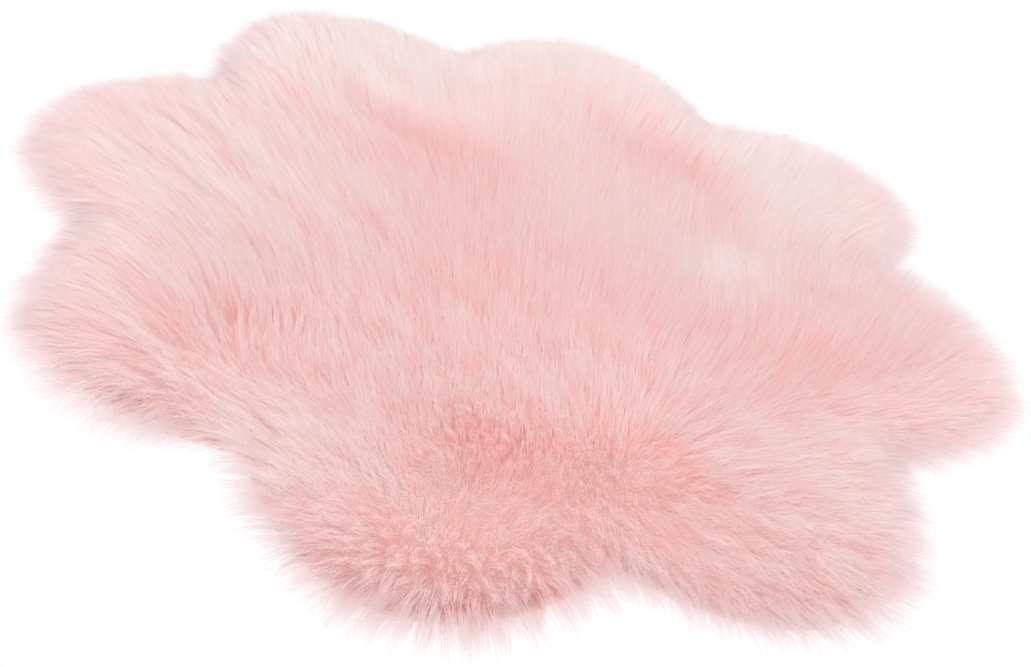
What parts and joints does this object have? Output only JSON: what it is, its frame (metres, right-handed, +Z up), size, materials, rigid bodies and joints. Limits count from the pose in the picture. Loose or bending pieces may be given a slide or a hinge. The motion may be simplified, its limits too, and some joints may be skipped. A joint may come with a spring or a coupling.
{
  "type": "flower-shaped rug",
  "caption": "Flower-shaped rug of long, soft fur pile with rounded petals and loose locks of hair round its rim, lying flat on the floor.",
  "frame": {"origin": "middle of the flower on the floor, at the middle of the flat underside", "axes": "+Z up out of the pile, +Y along the middle of the top petal, +X along the middle of the right petal"},
  "size_m": [0.9787, 0.9625, 0.0506],
  "materials": {
    "fur_pile": "long, soft synthetic fur pile in pale pink, paler at the tips"
  },
  "bodies": {
    "root": {"fur_rug": "fur_pile"}
  },
  "joints": []
}
